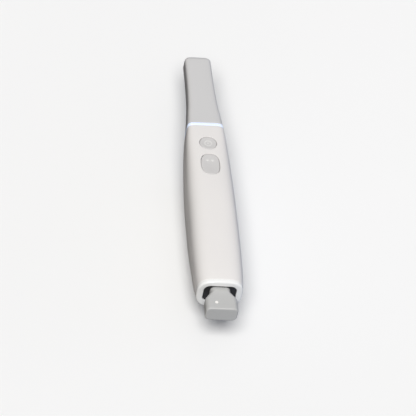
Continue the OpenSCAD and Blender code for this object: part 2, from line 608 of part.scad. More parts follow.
placed() upper_shell();
placed() lower_shell();
placed() tail_bezel();
placed() bezel_screws();
placed() light_ring();
placed() ring_board();
placed() ring_leds();
placed() optics_snout();
placed() snout_window();
placed() snout_seal();
placed() snout_screws();
placed() tip_springs();
placed() optics_chassis();
placed() chassis_screws();
placed() lens_barrel();
placed() lens_elements();
placed() beam_splitter();
placed() sensor_board();
placed() image_sensor();
placed() sensor_flex();
placed() projector_barrel();
placed() projector_lens();
placed() projector_board();
placed() heat_sink();
placed() main_board();
placed() main_chips();
placed() shield_can();
placed() board_posts();
placed() board_screws();
placed() antenna_board();
placed() button_board();
placed() button_switches();
placed() button_guides();
placed() battery_bay();
placed() bay_contacts();
placed() power_board();
placed() latch_pin();
placed() latch_spring();
placed() tip_sleeve();
placed() tip_mirror();
placed() mirror_mount();
placed() scan_button();
placed() scan_button_mark();
placed() mode_button();
placed() mode_button_dots();
placed() battery_case();
placed() battery_cell();
placed() battery_board();
placed() battery_contacts();
placed() battery_grip();
placed() charge_contacts();
placed() charge_light();
placed() latch_lever();
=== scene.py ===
"""Looks of a cordless intraoral camera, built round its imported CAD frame.

The skins that a hand or an eye meets are rebuilt as fine meshes on the same curves as the CAD model.
The CAD nodes inside keep their meshes and get bevels and finishes. Lengths are in millimetres, and
stations are counted from the tail along X, until a mesh is made.
"""
import math

import bmesh
import bpy
import numpy as np
from mathutils import Matrix, Vector

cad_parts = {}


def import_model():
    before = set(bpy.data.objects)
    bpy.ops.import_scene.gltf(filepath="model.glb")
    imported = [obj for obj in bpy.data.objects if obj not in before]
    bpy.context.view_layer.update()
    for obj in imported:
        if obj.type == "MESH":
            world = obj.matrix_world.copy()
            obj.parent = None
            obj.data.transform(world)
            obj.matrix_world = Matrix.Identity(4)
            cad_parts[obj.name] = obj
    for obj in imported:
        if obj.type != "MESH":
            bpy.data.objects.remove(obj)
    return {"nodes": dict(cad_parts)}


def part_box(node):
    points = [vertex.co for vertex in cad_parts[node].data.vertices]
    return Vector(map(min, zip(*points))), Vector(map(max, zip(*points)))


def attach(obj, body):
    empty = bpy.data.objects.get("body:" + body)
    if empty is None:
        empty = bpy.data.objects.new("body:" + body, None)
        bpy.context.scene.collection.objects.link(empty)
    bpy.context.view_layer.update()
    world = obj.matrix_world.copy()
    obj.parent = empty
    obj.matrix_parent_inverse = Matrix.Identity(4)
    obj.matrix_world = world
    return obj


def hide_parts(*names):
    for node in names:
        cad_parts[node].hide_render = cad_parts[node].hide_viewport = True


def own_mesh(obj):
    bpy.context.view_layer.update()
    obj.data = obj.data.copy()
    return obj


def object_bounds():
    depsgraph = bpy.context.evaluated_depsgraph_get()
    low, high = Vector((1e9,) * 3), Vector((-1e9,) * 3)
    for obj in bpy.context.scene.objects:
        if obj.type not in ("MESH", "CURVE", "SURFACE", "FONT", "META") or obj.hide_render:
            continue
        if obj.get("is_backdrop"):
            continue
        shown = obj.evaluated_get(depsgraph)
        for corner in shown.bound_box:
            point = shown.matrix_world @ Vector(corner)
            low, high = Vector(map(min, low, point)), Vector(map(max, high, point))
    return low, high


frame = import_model()
cad_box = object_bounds()

# ---------- driving sizes ----------
MM = 0.001
START_X = cad_box[0].x + MM                            # where station 0 is in the row frame
TIP_END = (cad_box[1].x - START_X) / MM                # station of the tip's end
BACK = cad_box[1].z / MM - 0.06                        # height of the back where the table has its rows
HALF = cad_box[1].y / MM - 0.01                        # half width of the handle
WALL = 2.0                                             # wall of the handle's shells
TIP_WALL = 1.5
TIP_END_WALL = 3.4                                     # thickness of the tip's closed end
PARTING = 0.08                                         # half the gap between the two shells
EDGE = 0.28                                            # radius on the shells' edges
BUTTON_GAP = 0.25
PAD_GAP = 0.4                                          # gap round the latch pad
BATTERY_GAP = 0.3
JOIN = 1e-6                                            # points closer than this, in metres, become one
SHARP = 40                                             # degrees from which an edge stays sharp
FINE = 1440                                            # steps round a finely drawn curve

# Cross-sections: station, top, bottom, half width, widest height, upper and lower squareness
TIP_START = [171.4, BACK - 1.9, 24.4, HALF - 4.6, 36.2, 6.0, 4.2]
HANDLE = np.array([
    [18.0, BACK - 2.9, 17.8, HALF - 1.3, 32.2, 3.1, 2.8],
    [32.0, BACK - 1.7, 13.4, HALF - 0.4, 32.6, 3.1, 2.7],
    [60.0, BACK - 0.5, 5.0, HALF, 33.0, 3.1, 2.6],
    [88.0, BACK, -1.2, HALF - 0.3, 33.0, 3.2, 2.5],
    [112.0, BACK, -1.2, HALF - 0.6, 33.1, 3.2, 2.4],
    [132.0, BACK - 0.4, 2.8, HALF - 1.4, 33.5, 3.4, 2.5],
    [148.0, BACK - 0.9, 9.2, HALF - 2.3, 34.4, 3.8, 2.8],
    [160.0, BACK - 1.4, 16.4, HALF - 3.2, 35.4, 4.6, 3.3],
    TIP_START])
TIP = np.array([
    TIP_START,
    [176.0, BACK - 2.2, 27.9, HALF - 5.1, 36.8, 6.0, 4.6],
    [183.0, BACK - 2.6, 30.0, HALF - 5.8, 37.2, 5.8, 5.0],
    [194.0, BACK - 3.2, 30.5, HALF - 6.9, 37.2, 5.6, 5.2],
    [214.0, BACK - 4.2, 30.2, HALF - 7.8, 37.0, 5.5, 5.2],
    [TIP_END, BACK - 5.6, 29.5, HALF - 8.1, 36.0, 5.5, 5.2]])


def station(x):
    """Station of a row-frame X."""
    return (x - START_X) / MM


def reach(node):
    """First and last station of a CAD node."""
    return [station(corner.x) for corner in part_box(node)]


def centre(node):
    """Station, offset and height of the middle of a CAD node."""
    low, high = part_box(node)
    middle = (low + high) / 2
    return station(middle.x), middle.y / MM, middle.z / MM


def size(node):
    """Length, width and height of a CAD node."""
    low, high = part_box(node)
    return (high - low) / MM


# Middle, width and length of the two buttons' faces, of the latch pad and of the scanning window
SCAN_S, SCAN_W, SCAN_L = centre("scan_button")[0], 12.8, 12.4
MODE_S, MODE_W, MODE_L = centre("mode_button")[0], 13.4, 20.0
PAD_S, PAD_W, PAD_L = 36.0, 9.8, 12.8
WINDOW_S, WINDOW_W, WINDOW_L = TIP_END - 14.8, 13.6, 15.5
# Section of the battery pack
PACK_Z = centre("battery_case")[2]
_, PACK_W, PACK_H = size("battery_case")
PACK_R = 4.5


# ---------- curves ----------
def profile(table, s):
    """The table's columns at stations s, on a smooth cubic through its rows."""
    t, columns = table[:, 0], table[:, 1:]
    slope = np.empty_like(columns)
    slope[1:-1] = (columns[2:] - columns[:-2]) / (t[2:] - t[:-2])[:, None]
    slope[0] = (columns[1] - columns[0]) / (t[1] - t[0])
    slope[-1] = (columns[-1] - columns[-2]) / (t[-1] - t[-2])
    s = np.asarray(s, float)
    i = np.clip(np.searchsorted(t, s, side="right") - 1, 0, len(t) - 2)
    h = (t[i + 1] - t[i])[..., None]
    u = (s - t[i])[..., None] / h
    return ((2 * u**3 - 3 * u**2 + 1) * columns[i] + (u**3 - 2 * u**2 + u) * slope[i] * h
            + (3 * u**2 - 2 * u**3) * columns[i + 1] + (u**3 - u**2) * slope[i + 1] * h)


def around(count, start=0.0):
    """Angles of one turn, in count equal steps."""
    return np.linspace(start, start + 2 * math.pi, count + 1)[:-1]


def flattened(z, floor, soft=0.5):
    """z kept over the floor, with a soft edge where it flattens."""
    return floor + 0.5 * (z - floor + np.sqrt((z - floor) ** 2 + soft**2))


def surface(table, side, s, y, inset=0.0):
    """Height of the upper (side 1) or lower (side -1) surface, moved in by inset."""
    top, bottom, half, mid, upper, lower = np.moveaxis(profile(table, s), -1, 0)
    rise = (top - mid if side > 0 else mid - bottom) - inset
    square = upper if side > 0 else lower
    across = np.clip(np.abs(y) / (half - inset), 0, 1)
    z = mid + side * rise * (1 - across**square) ** (1 / square)
    return z if side > 0 else flattened(z, inset)


def even(points, count):
    """A polyline's points spread an equal way apart."""
    way = np.concatenate([[0], np.cumsum(np.linalg.norm(np.diff(points, axis=0), axis=1))])
    at = np.linspace(0, way[-1], count)
    return np.column_stack([np.interp(at, way, points[:, k]) for k in (0, 1)])


def half_curve(table, s, side, inset, inset_z, edge=0.0):
    """Fine (y, height) points of half a section from +Y to -Y, cut off edge short of its widest line."""
    top, bottom, half, mid, upper, lower = profile(table, s)
    square = upper if side > 0 else lower
    rise = (top - mid if side > 0 else mid - bottom) - inset_z
    a = np.linspace(0, math.pi, FINE // 2 + 1)
    y = (half - inset) * np.sign(np.cos(a)) * np.abs(np.cos(a)) ** (2 / square)
    z = rise * np.abs(np.sin(a)) ** (2 / square)
    inside = z > edge
    y_edge = (half - inset) * (1 - (edge / rise) ** square) ** (1 / square)
    y = np.concatenate([[y_edge], y[inside], [-y_edge]])
    z = mid + side * np.concatenate([[edge], z[inside], [edge]])
    return np.column_stack([y, z if side > 0 else flattened(z, inset_z)])


def section(table, s, count, inset=0.0, inset_z=None):
    """Closed section as count even points, from +Y over the top and back underneath."""
    inset_z = inset if inset_z is None else inset_z
    over = half_curve(table, s, 1, inset, inset_z)
    under = half_curve(table, s, -1, inset, inset_z)[::-1]
    return even(np.concatenate([over, under[1:]]), count + 1)[:-1]


def box_section(width, height, r, count, z):
    """Closed rectangle with round corners about height z, as count even (y, height) points from +Y."""
    a = np.linspace(0, 2 * math.pi, FINE + 1)
    to_side, to_top = (np.sign(np.round(way, 9)) for way in (np.cos(a), np.sin(a)))
    y = to_side * (width / 2 - r) + r * np.cos(a)
    up = to_top * (height / 2 - r) + r * np.sin(a)
    return even(np.column_stack([y, z + up]), count + 1)[:-1]


def eye(width, length, soft=0.35):
    """Outline of two arcs that meet in softened points at the sides, as (station, offset) points."""
    r = (width**2 + length**2) / (4 * length)
    offset = r - length / 2
    a = around(FINE, -math.pi)
    chord = np.sqrt(r**2 - (offset * np.sin(a)) ** 2)
    one, other = chord - offset * np.cos(a), chord + offset * np.cos(a)
    radius = -soft * np.log(np.exp(-one / soft) + np.exp(-other / soft))
    return np.column_stack([radius * np.cos(a), radius * np.sin(a)])


def oval(width, length, square=2.6):
    """Superellipse outline, as (station, offset) points."""
    a = around(FINE, -math.pi)
    along, aside = np.abs(np.cos(a) * 2 / length), np.abs(np.sin(a) * 2 / width)
    radius = (along**square + aside**square) ** (-1 / square)
    return np.column_stack([radius * np.cos(a), radius * np.sin(a)])


def slab(width, length, r):
    """Rectangle outline with round corners, as (station, offset) points."""
    return box_section(length, width, r, FINE, 0.0)


def circle(r, count=48):
    """Round loop about the origin."""
    a = around(count)
    return np.column_stack([r * np.cos(a), r * np.sin(a)])


def upright(loop, s):
    """A loop of (offset, height) points at station s."""
    return np.column_stack([np.full(len(loop), s), loop])


def level(loop, z):
    """A loop of (station, offset) points at height z."""
    return np.column_stack([loop, np.full(len(loop), z)])


def polar(outline, angles):
    """Distance from the middle to a closed outline, at the given angles."""
    a = np.arctan2(outline[:, 1], outline[:, 0])
    order = np.argsort(a)
    return np.interp(angles, a[order], np.linalg.norm(outline, axis=1)[order], period=2 * math.pi)


def turn(r, steps=4):
    """(out, down) steps round an edge of radius r, from its flat side (r, 0) to its wall (0, r)."""
    angles = np.linspace(0, math.pi / 2, steps + 1)
    return [(r * (1 - math.sin(a)), r * (1 - math.cos(a))) for a in angles]


def stretch(first, last, spacing, r):
    """(station, inset) rows between two flat ends, with both edges rounded by r."""
    count = max(2, round((last - first - 2 * r) / spacing))
    rows = [(first + down, out) for out, down in turn(r)]
    rows += [(s, 0.0) for s in np.linspace(first + r, last - r, count + 1)[1:-1]]
    return rows + [(last - down, out) for out, down in turn(r)[::-1]]


# ---------- mesh building ----------
class Skin:
    """Points and faces of one piece, gathered in millimetres."""

    def __init__(self):
        self.points, self.faces = [], []

    def add(self, points):
        """Adds (station, offset, height) points and returns their numbers."""
        start = len(self.points)
        self.points.extend(np.asarray(points, float))
        return np.arange(start, len(self.points))

    def across(self, s, loop):
        """Adds a cross-section's (offset, height) points at station s."""
        return self.add(upright(loop, s))

    def strip(self, a, b, closed=True):
        """Quads between two rows of as many points."""
        for k in range(len(a) if closed else len(a) - 1):
            n = (k + 1) % len(a)
            self.faces.append((a[k], a[n], b[n], b[k]))

    def fan(self, *rings):
        """Closes each ring with triangles to its middle."""
        for ring in rings:
            (c,) = self.add([np.mean([self.points[k] for k in ring], axis=0)])
            for k in range(len(ring)):
                self.faces.append((ring[k], ring[(k + 1) % len(ring)], c))

    def grid(self, rows, closed=True, skip=()):
        """Quads between neighbouring rows, but for the windows in skip."""
        rows = np.array(rows)
        width = rows.shape[1]
        for i in range(len(rows) - 1):
            for j in range(width if closed else width - 1):
                if not any(a <= i < b and c <= j < d for a, b, c, d in skip):
                    n = (j + 1) % width
                    self.faces.append((rows[i, j], rows[i, n], rows[i + 1, n], rows[i + 1, j]))
        return rows

    def window(self, rows, middle, outline, side, margin):
        """Rows and columns of a grid's upper or lower half that clear an outline round (station, 0)."""
        points = np.array([[self.points[k] for k in row] for row in rows])
        far = np.abs(outline).max(axis=0) + margin
        near_rows = np.where(np.abs(points[:, 0, 0] - middle) <= far[0])[0]
        some = points[near_rows[0]]
        facing = side * (some[:, 2] - (some[:, 2].max() + some[:, 2].min()) / 2) > 0
        near = np.where(facing & (np.abs(some[:, 1]) <= far[1]))[0]
        return near_rows[0] - 1, near_rows[-1] + 1, near[0] - 1, near[-1] + 1

    def opening(self, rows, window, middle, outline, side, r, height):
        """Fills a window up to an outline round (middle, 0), with a round edge. Gives its last ring."""
        i0, i1, j0, j1 = window
        shares = (0.3, 0.6, 0.85, 1.0)                 # of the way from the window to the outline
        ring = np.concatenate([
            rows[i0, j0:j1], rows[i0:i1, j1], rows[i1, j1:j0:-1], rows[i1:i0:-1, j0]])
        plan = np.array([self.points[k][:2] for k in ring]) - (middle, 0)
        angle = np.arctan2(plan[:, 1], plan[:, 0])
        ray = np.column_stack([np.cos(angle), np.sin(angle)])
        goal, start = polar(outline, angle), np.linalg.norm(plan, axis=1)
        steps = [(start + (goal + r - start) * share, 0.0) for share in shares]
        steps += [(goal + out, down) for out, down in turn(r)[1:]] if r else []
        for far, down in steps:
            flat = ray * np.asarray(far)[:, None] + (middle, 0)
            z = height(flat[:, 0], flat[:, 1]) - side * down
            ring, last = self.add(np.column_stack([flat, z])), ring
            self.strip(last, ring)
        return ring

    def rings(self, middle, angle, steps):
        """Grid of rings round (station, offset). Each step is a reach with a height, or a height function."""
        ray = np.column_stack([np.cos(angle), np.sin(angle)])
        made = []
        for far, height in steps:
            flat = ray * (np.zeros(len(angle)) + far)[:, None] + middle
            if callable(height):
                z = height(flat[:, 0], flat[:, 1])
            else:
                z = np.full(len(angle), float(height))
            made.append(self.add(np.column_stack([flat, z])))
        return self.grid(made)

    def build(self, name):
        """Makes the object: metres, joined points, outward normals and sharp edges."""
        points = np.array(self.points) * MM + (START_X, 0, 0)
        mesh = bpy.data.meshes.new(name)
        mesh.from_pydata(points.tolist(), [], [tuple(int(k) for k in f) for f in self.faces])
        bm = bmesh.new()
        bm.from_mesh(mesh)
        bmesh.ops.remove_doubles(bm, verts=bm.verts, dist=JOIN)
        bmesh.ops.recalc_face_normals(bm, faces=bm.faces)
        bm.to_mesh(mesh)
        bm.free()
        piece = bpy.data.objects.new(name, mesh)
        bpy.context.scene.collection.objects.link(piece)
        return smooth(piece)


def smooth(piece):
    """Shades a piece smooth, but for its sharp edges."""
    mesh = piece.data
    mesh.polygons.foreach_set("use_smooth", [True] * len(mesh.polygons))
    mesh.set_sharp_from_angle(angle=math.radians(SHARP))
    return piece


def carve(piece, cutters):
    """Cuts closed cutters out of a piece."""
    for cutter in cutters:
        cut = piece.modifiers.new("cut", "BOOLEAN")
        cut.operation = "DIFFERENCE"
        cut.solver = "EXACT"
        cut.object = cutter
    bpy.context.view_layer.update()
    shown = piece.evaluated_get(bpy.context.evaluated_depsgraph_get())
    mesh = bpy.data.meshes.new_from_object(shown)
    piece.modifiers.clear()
    piece.data = mesh
    for cutter in cutters:
        bpy.data.objects.remove(cutter)
    return smooth(piece)


def plug_cutter(rings):
    """Closed plug through rings of (station, offset, height) points."""
    plug = Skin()
    rows = plug.grid([plug.add(ring) for ring in rings])
    plug.fan(rows[0], rows[-1])
    return plug.build("cutter")


def finish_piece(piece, body, slot, *nodes):
    """Gives a rebuilt piece its finish and its body, and hides the CAD nodes that it stands for."""
    piece.data.materials.clear()
    piece.data.materials.append(bpy.data.materials[slot])
    even_out = piece.modifiers.new("even normals", "WEIGHTED_NORMAL")
    even_out.keep_sharp = True
    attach(piece, body)
    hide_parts(*nodes)
    return piece


# ---------- handle ----------
def handle_half(side, openings):
    """One shell of the handle: an outer and an inner skin, joined round their edges and openings."""
    skin = Skin()
    outer, inner = [], []
    spacing, across, margin = 1.1, 110, 0.8
    bend = turn(EDGE)[:-1]
    for s, inset in stretch(*reach("upper_shell"), spacing, EDGE):
        mid = profile(HANDLE, s)[3]
        face = even(half_curve(HANDLE, s, side, inset, inset, PARTING + EDGE), across)
        left = [(face[0, 0] - out, mid + side * (PARTING + down)) for out, down in bend]
        right = [(-y, z) for y, z in left[::-1]]
        outer.append(skin.across(s, np.concatenate([left, face, right])))
        back = even(half_curve(HANDLE, s, side, WALL, WALL, PARTING), len(outer[-1]))
        inner.append(skin.across(s, back))
    windows = [skin.window(outer, middle, outline, side, margin) for middle, outline in openings]
    outer = skin.grid(outer, False, windows)
    inner = skin.grid(inner, False, windows)
    for a, b in ((outer[0], inner[0]), (outer[-1], inner[-1]), (outer[:, 0], inner[:, 0]),
                 (outer[:, -1], inner[:, -1])):
        skin.strip(a, b, False)
    for window, (middle, outline) in zip(windows, openings):
        near = skin.opening(outer, window, middle, outline, side, EDGE,
                            lambda s, y: surface(HANDLE, side, s, y))
        far = skin.opening(inner, window, middle, outline, side, 0,
                           lambda s, y: surface(HANDLE, side, s, y, WALL))
        skin.strip(near, far)
    return skin


def upper_shell():
    """Back of the handle, with the openings of the two buttons."""
    scan = eye(SCAN_W + 2.2 * BUTTON_GAP, SCAN_L + 2 * BUTTON_GAP)     # a little more at the eye's points
    mode = oval(MODE_W + 2 * BUTTON_GAP, MODE_L + 2 * BUTTON_GAP)
    skin = handle_half(1, [(SCAN_S, scan), (MODE_S, mode)])
    finish_piece(skin.build("handle_back"), "handle", "shell_white", "upper_shell")


def lower_shell():
    """Belly of the handle, with the opening of the latch pad."""
    skin = handle_half(-1, [(PAD_S, oval(PAD_W + 2 * PAD_GAP, PAD_L + 2 * PAD_GAP))])
    finish_piece(skin.build("handle_belly"), "handle", "shell_white", "lower_shell")


def tail_bezel():
    """Glossy ring round the battery's mouth, with two counterbored screw holes in its rear face."""
    skin = Skin()
    first, last = reach("tail_bezel")
    count, back_r, mouth_r, step = 192, 1.3, 0.4, 0.15

    def mouth(grow):
        grow += BATTERY_GAP
        return box_section(PACK_W + 2 * grow, PACK_H + 2 * grow, PACK_R + grow, count, PACK_Z)

    rows = [(last, mouth(0))] + [(first + down, mouth(out)) for out, down in turn(mouth_r)[::-1]]
    edge, rim = mouth(mouth_r), section(HANDLE, first, count, back_r)
    rows += [(first, edge + (rim - edge) * share) for share in (0.35, 0.7)]
    rows += [(first + down, section(HANDLE, first + down, count, out)) for out, down in turn(back_r, 8)]
    rows += [(last - step, section(HANDLE, last, count)), (last, section(HANDLE, last, count, step))]
    rows = skin.grid([skin.across(s, loop) for s, loop in rows])
    skin.strip(rows[-1], rows[0])
    screw_r, sink_r, sink, bore_r = 1.3, 1.4, 1.5, 0.85
    screw_y, screw_z = size("bezel_screws")[1] / 2 - screw_r, centre("bezel_screws")[2]
    steps = [(first - 0.3, sink_r + 0.5), (first + 0.2, sink_r), (first + sink, sink_r),
             (first + sink, bore_r), (last + 0.5, bore_r)]
    holes = [plug_cutter([upright(circle(r) + (side * screw_y, screw_z), s) for s, r in steps])
             for side in (-1, 1)]
    bezel = carve(skin.build("tail_bezel_skin"), holes)
    finish_piece(bezel, "handle", "bezel_white", "tail_bezel")


def light_ring():
    """Lit band behind the tip: slightly crowned, with a fine step at both edges."""
    skin = Skin()
    first, last = reach("light_ring")
    low, crown, edge, depth = 0.05, 0.14, 0.35, 2.9
    rows = [(s, low + inset - crown * (1 - (2 * (s - first) / (last - first) - 1) ** 4))
            for s, inset in stretch(first, last, 0.3, edge)]
    rows += [(last, depth), (first, depth)]
    rows = skin.grid([skin.across(s, section(HANDLE, s, 192, inset)) for s, inset in rows])
    skin.strip(rows[-1], rows[0])
    finish_piece(skin.build("status_ring"), "handle", "ring_light", "light_ring")


# ---------- tip ----------
def tip_sleeve():
    """Removable tip: tapered tube with a rounded closed end and the scanning window underneath."""
    skin = Skin()
    base = reach("tip_sleeve")[0]
    count, along = 176, 57                             # points in a row, rows before the rounded end
    base_r, window_r = 0.25, 0.5
    dome, plan_r, side_r = 0.25, 4.0, 2.4              # crown of the end face, radii of its edge
    cap = TIP_END - dome - plan_r
    rows = [(base + down, out) for out, down in turn(base_r)]
    rows += [(s, 0.0) for s in np.linspace(base + base_r, cap, along + 1)[1:]]
    outer = [skin.across(s, section(TIP, s, count, inset)) for s, inset in rows]
    inside = [s for s, _ in rows if s < TIP_END - TIP_END_WALL]
    inner = [skin.across(s, section(TIP, s, count, TIP_WALL)) for s in inside]
    for a in np.linspace(0, math.pi / 2, 11)[1:]:
        s, out = cap + plan_r * math.sin(a), 1 - math.cos(a)
        loop = section(TIP, s, count, plan_r * out, side_r * out)
        outer.append(skin.across(s, loop))
    middle = loop.mean(axis=0)
    for f in (0.85, 0.65, 0.45, 0.25, 0.1):            # the end face, from its rim inwards
        outer.append(skin.across(TIP_END - dome * f**2, middle * (1 - f) + loop * f))
    outline = slab(WINDOW_W, WINDOW_L, 2.6)
    window = skin.window(outer[:len(rows)], WINDOW_S, outline, -1, 1.0)
    outer = skin.grid(outer, True, [window])
    inner = skin.grid(inner, True, [window])
    skin.strip(outer[0], inner[0])
    skin.fan(outer[-1], inner[-1])
    near = skin.opening(outer, window, WINDOW_S, outline, -1, window_r,
                        lambda s, y: surface(TIP, -1, s, y))
    far = skin.opening(inner, window, WINDOW_S, outline, -1, 0,
                       lambda s, y: surface(TIP, -1, s, y, TIP_WALL))
    skin.strip(near, far)
    finish_piece(skin.build("tip_skin"), "tip", "tip_grey", "tip_sleeve")


# ---------- buttons ----------
def dished(middle, outline, inset, dish):
    """Height of a button's face: the handle's form moved in, hollowed towards the middle."""
    def height(s, y):
        rim = polar(outline, np.arctan2(y, s - middle))
        share = np.clip(np.hypot(s - middle, y) / rim, 0, 1)
        return surface(HANDLE, 1, s, y, inset) - dish * (1 - share**2) ** 2
    return height


def lowered(height, down):
    """A height function moved down."""
    return lambda s, y: height(s, y) - down


def button(name, node, middle, outline, face):
    """Button with a round edge, a lip that keeps it in the handle, and a hollow for the switch."""
    skin = Skin()
    edge_r, lip, lip_h, lip_edge, hollow_r, hollow_z = 0.45, 0.8, 0.7, 0.08, 3.0, 44.0
    lip_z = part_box(node)[0].z / MM
    angle = around(192, -math.pi)
    rim = polar(outline, angle)
    steps = [((rim - edge_r) * f, face) for f in np.linspace(0.03, 1, 22)]
    steps += [(rim - out, lowered(face, down)) for out, down in turn(edge_r, 5)[1:]]
    steps += [(rim, lip_z + lip_h), (rim + lip - lip_edge, lip_z + lip_h),
              (rim + lip, lip_z + lip_h - lip_edge), (rim + lip, lip_z), (hollow_r, lip_z),
              (hollow_r, hollow_z)]
    rows = skin.rings((middle, 0), angle, steps)
    skin.fan(rows[0], rows[-1])
    finish_piece(skin.build(name), node, "button_grey", node)


def raised_disc(skin, middle, r, foot, top, edge):
    """Small disc with a round edge, from height foot up to the height function top."""
    steps = [((r - edge) * f, top) for f in (0.1, 0.4, 0.7, 1)]
    steps += [(r - out, lowered(top, down)) for out, down in turn(edge)[1:]]
    rows = skin.rings(middle, around(48, -math.pi), steps + [(r, foot)])
    skin.fan(rows[0], rows[-1])


def scan_button():
    """Eye-shaped button, and the ring and dot that stand out on it."""
    outline = eye(SCAN_W, SCAN_L)
    face = dished(SCAN_S, outline, 0.15, 0.4)
    button("scan_key", "scan_button", SCAN_S, outline, face)
    mark = Skin()
    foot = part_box("scan_button_mark")[0].z / MM
    r, inner, dot, edge, lift = size("scan_button_mark")[1] / 2, 1.95, 0.75, 0.12, 0.1
    top = lowered(face, -lift)
    steps = [(r, foot)]
    steps += [(r - out, lowered(top, down)) for out, down in turn(edge)[::-1]]
    steps += [(inner + out, lowered(top, down)) for out, down in turn(edge)]
    rows = mark.rings((SCAN_S, 0), around(96, -math.pi), steps + [(inner, foot)])
    mark.strip(rows[-1], rows[0])
    raised_disc(mark, (SCAN_S, 0), dot, foot, top, edge)
    finish_piece(mark.build("scan_key_mark"), "scan_button", "button_mark", "scan_button_mark")


def mode_button():
    """Oval button, and the two domed dots at its front end."""
    outline = oval(MODE_W, MODE_L)
    button("mode_key", "mode_button", MODE_S, outline, dished(MODE_S, outline, 0.15, 0.45))
    dots = Skin()
    s0, _, _ = centre("mode_button_dots")
    foot, high = (corner.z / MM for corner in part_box("mode_button_dots"))
    r = size("mode_button_dots")[0] / 2
    far = size("mode_button_dots")[1] / 2 - r
    lower, crown, edge = 0.1, 0.3, 0.1
    for y0 in (-far, far):
        def dome(s, y, y0=y0):
            return high - lower - crown * ((s - s0) ** 2 + (y - y0) ** 2) / r**2

        raised_disc(dots, (s0, y0), r, foot, dome, edge)
    finish_piece(dots.build("mode_key_dots"), "mode_button", "button_mark", "mode_button_dots")


# ---------- battery and latch ----------
def battery_grip():
    """Finger grip of the battery: a neck, slanted shoulders and a block with recessed pads underneath."""
    skin = Skin()
    first, last = reach("battery_grip")
    _, wide, tall = size("battery_grip")
    shoulder, neck, neck_w = 10.2, 16.4, 14.6          # stations where the slant starts and ends, its end
    end_r, corner, soft = 1.1, 3.6, 0.4

    def width(s):
        slant = wide - (s - shoulder) * (wide - neck_w) / (neck - shoulder)
        narrower = -soft * math.log(math.exp(-wide / soft) + math.exp(-slant / soft))
        return soft * math.log(math.exp(neck_w / soft) + math.exp(narrower / soft))

    def block(wide, out=0.0):
        return box_section(wide - 2 * out, tall - 2 * out, corner - 0.7 * out, 160, PACK_Z)

    rows = [(first + down, block(wide, out)) for out, down in turn(end_r, 8)]
    rows += [(s, block(width(s))) for s in np.linspace(first + end_r, last, 42)[1:]]
    rows = skin.grid([skin.across(s, loop) for s, loop in rows])
    skin.fan(rows[0], rows[-1])
    grip = skin.build("battery_grip_skin")

    pad_l, pads_w, _ = size("charge_contacts")
    pad_w, pad_r, pads = 2.8, 0.45, 4
    pad_s, under = centre("charge_contacts")[0], PACK_Z - tall / 2
    cutters = []
    for y in np.linspace(-(pads_w - pad_w) / 2, (pads_w - pad_w) / 2, pads):
        steps = ((under - 0.3, 0.6), (under + 0.2, 0.1), (under + 0.5, 0.1))
        cutters.append(plug_cutter([
            level(box_section(pad_l + 2 * grow, pad_w + 2 * grow, pad_r + grow, 48, 0.0) + (pad_s, y), z)
            for z, grow in steps]))
    s, y, _ = centre("charge_light")
    top, light_r = PACK_Z + tall / 2, 1.2
    steps = ((top - 1, light_r), (top - 0.12, light_r), (top + 0.3, light_r + 0.4))
    cutters.append(plug_cutter([level(circle(r) + (s, y), z) for z, r in steps]))
    finish_piece(carve(grip, cutters), "battery", "grip_grey", "battery_grip")


def prism(skin, outline, half):
    """Side outline (station, height) drawn out to both sides of the middle."""
    rows = [skin.add([(s, y, z) for s, z in outline]) for y in (-half, half)]
    skin.strip(*rows)
    for row in rows:
        skin.faces.append(tuple(row))


def latch_lever():
    """Rocking latch: a grooved pad flush with the belly, an arm on a pin, and the tooth in the pack."""
    skin = Skin()
    edge_r, groove_w, groove, groove_y, pad_top = 0.4, 0.42, 0.35, 3.4, 18.0
    angle = around(144, -math.pi)
    rim = polar(oval(PAD_W, PAD_L), angle)

    def face(s, y):
        grooves = sum(np.exp(-((s - PAD_S - at) / groove_w) ** 2) for at in (-2.6, 0.0, 2.6))
        ends = np.clip((groove_y - np.abs(y)) / 0.6, 0, 1)
        return surface(HANDLE, -1, s, y, 0.1) + groove * grooves * ends

    steps = [((rim - edge_r) * f, face) for f in np.linspace(0.03, 1, 30)]
    steps += [(rim - out, lowered(face, -up)) for out, up in turn(edge_r)[1:]]
    steps += [(rim, pad_top - 0.1), (rim - 0.1, pad_top)]
    rows = skin.rings((PAD_S, 0), angle, steps)
    skin.fan(rows[0], rows[-1])

    low, high, arm_w = 15.0, 17.6, 4.4
    tooth, tooth_l, tooth_top = reach("latch_lever")[1], 3.2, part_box("latch_lever")[1].z / MM
    prism(skin, [(PAD_S + 1, low), (tooth - 0.4, low), (tooth, low + 0.4), (tooth, tooth_top - 1.2),
                 (tooth - 0.5, tooth_top), (tooth - tooth_l, tooth_top), (tooth - tooth_l, high + 0.6),
                 (tooth - tooth_l - 0.6, high), (PAD_S + 1, high)], arm_w / 2)

    s, _, z = centre("latch_pin")
    hub_r, bore_r, hub_y = 2.0, 1.05, 5.0
    steps = ((-hub_y, bore_r), (-hub_y, hub_r), (hub_y, hub_r), (hub_y, bore_r))
    hub = [skin.add([(p, y, q) for p, q in circle(r) + (s, z)]) for y, r in steps]
    skin.grid(hub)
    skin.strip(hub[-1], hub[0])
    lever = skin.build("latch_lever_skin")
    bevel = lever.modifiers.new("bevel", "BEVEL")
    bevel.width = 0.15 * MM
    bevel.segments = 2
    bevel.angle_limit = math.radians(50)
    finish_piece(lever, "battery_latch", "grip_grey", "latch_lever")


